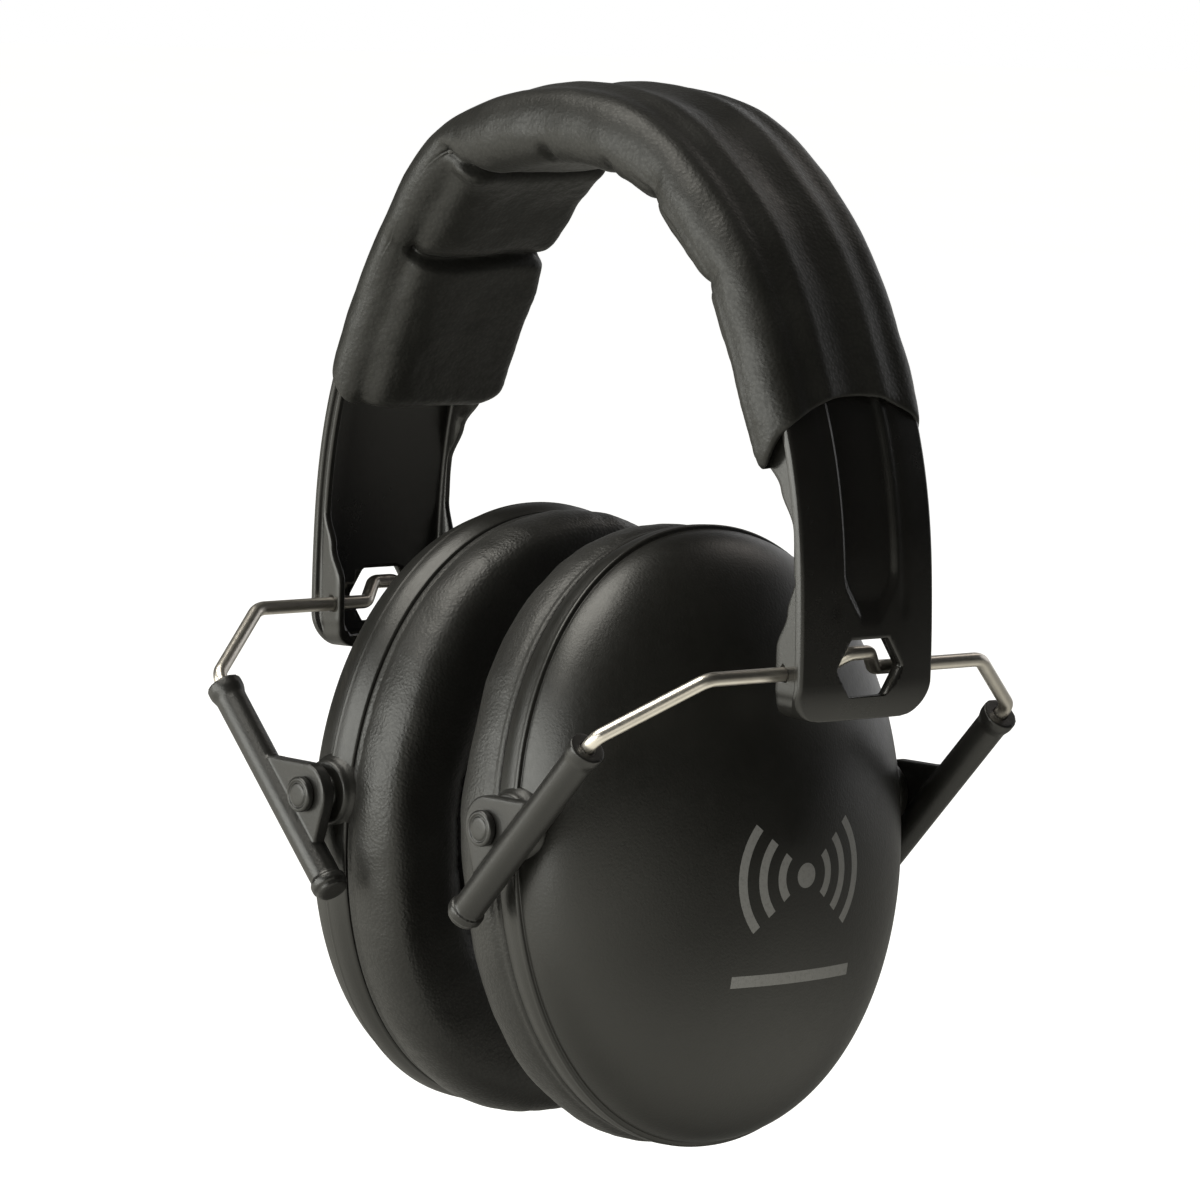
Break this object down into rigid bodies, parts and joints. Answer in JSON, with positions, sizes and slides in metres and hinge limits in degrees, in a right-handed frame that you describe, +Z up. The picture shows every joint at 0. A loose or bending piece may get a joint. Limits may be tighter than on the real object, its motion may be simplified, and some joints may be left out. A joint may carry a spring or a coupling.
{
  "type": "hearing protection earmuffs",
  "caption": "Passive hearing protection earmuffs: padded headband, bent wire yokes, sliding sleeves with pivots, and oval sound-blocking cups with ring cushions.",
  "frame": {"origin": "where the padded headband rests on the crown of the head: lowest point of the pad's arch, mid width", "axes": "+Z up, +X towards the right cup, +Y towards the back"},
  "size_m": [0.1292, 0.0972, 0.1747],
  "materials": {
    "band_plastic": "satin black moulded plastic",
    "cover_vinyl": "soft black vinyl",
    "pad_foam": "open cell foam",
    "spring_wire": "bright drawn spring steel",
    "sleeve_plastic": "satin black moulded plastic",
    "pin_plastic": "satin black moulded plastic",
    "cup_plastic": "satin black moulded plastic",
    "plate_plastic": "matt black plastic",
    "cushion_skin": "soft black leatherette",
    "liner_foam": "open cell foam"
  },
  "bodies": {
    "headband": {"headband_frame": "band_plastic", "headband_pad": "pad_foam", "headband_cover": "cover_vinyl"},
    "yoke_right": {"yoke_wire_right": "spring_wire"},
    "slider_right": {"sleeve_front_right": "sleeve_plastic", "sleeve_rear_right": "sleeve_plastic"},
    "cup_right": {"pivot_pins_right": "pin_plastic", "cup_shell_right": "cup_plastic", "cushion_plate_right": "plate_plastic", "ear_cushion_foam_right": "pad_foam", "ear_cushion_skin_right": "cushion_skin", "acoustic_foam_right": "liner_foam"},
    "yoke_left": {"yoke_wire_left": "spring_wire"},
    "slider_left": {"sleeve_front_left": "sleeve_plastic", "sleeve_rear_left": "sleeve_plastic"},
    "cup_left": {"pivot_pins_left": "pin_plastic", "cup_shell_left": "cup_plastic", "cushion_plate_left": "plate_plastic", "ear_cushion_foam_left": "pad_foam", "ear_cushion_skin_left": "cushion_skin", "acoustic_foam_left": "liner_foam"}
  },
  "joints": [
    {"name": "yoke_swing_right", "type": "hinge", "parent": "headband", "child": "yoke_right", "pos_m": [0.05871, 0, -0.07844], "axis": [0, 1, 0], "range_deg": [-25, 7]},
    {"name": "sleeve_slide_right", "type": "slide", "parent": "yoke_right", "child": "slider_right", "axis": [0.6997, 0, 0.7145], "range_m": [-0.014, 0]},
    {"name": "cup_tilt_right", "type": "hinge", "parent": "slider_right", "child": "cup_right", "pos_m": [0.02383, 0, -0.1054], "axis": [0, -1, 0], "range_deg": [-11, 5]},
    {"name": "yoke_swing_left", "type": "hinge", "parent": "headband", "child": "yoke_left", "pos_m": [-0.05871, 0, -0.07844], "axis": [0, -1, 0], "range_deg": [-25, 7]},
    {"name": "sleeve_slide_left", "type": "slide", "parent": "yoke_left", "child": "slider_left", "axis": [-0.6997, 0, 0.7145], "range_m": [-0.014, 0]},
    {"name": "cup_tilt_left", "type": "hinge", "parent": "slider_left", "child": "cup_left", "pos_m": [-0.02383, 0, -0.1054], "axis": [0, 1, 0], "range_deg": [-11, 5]}
  ]
}
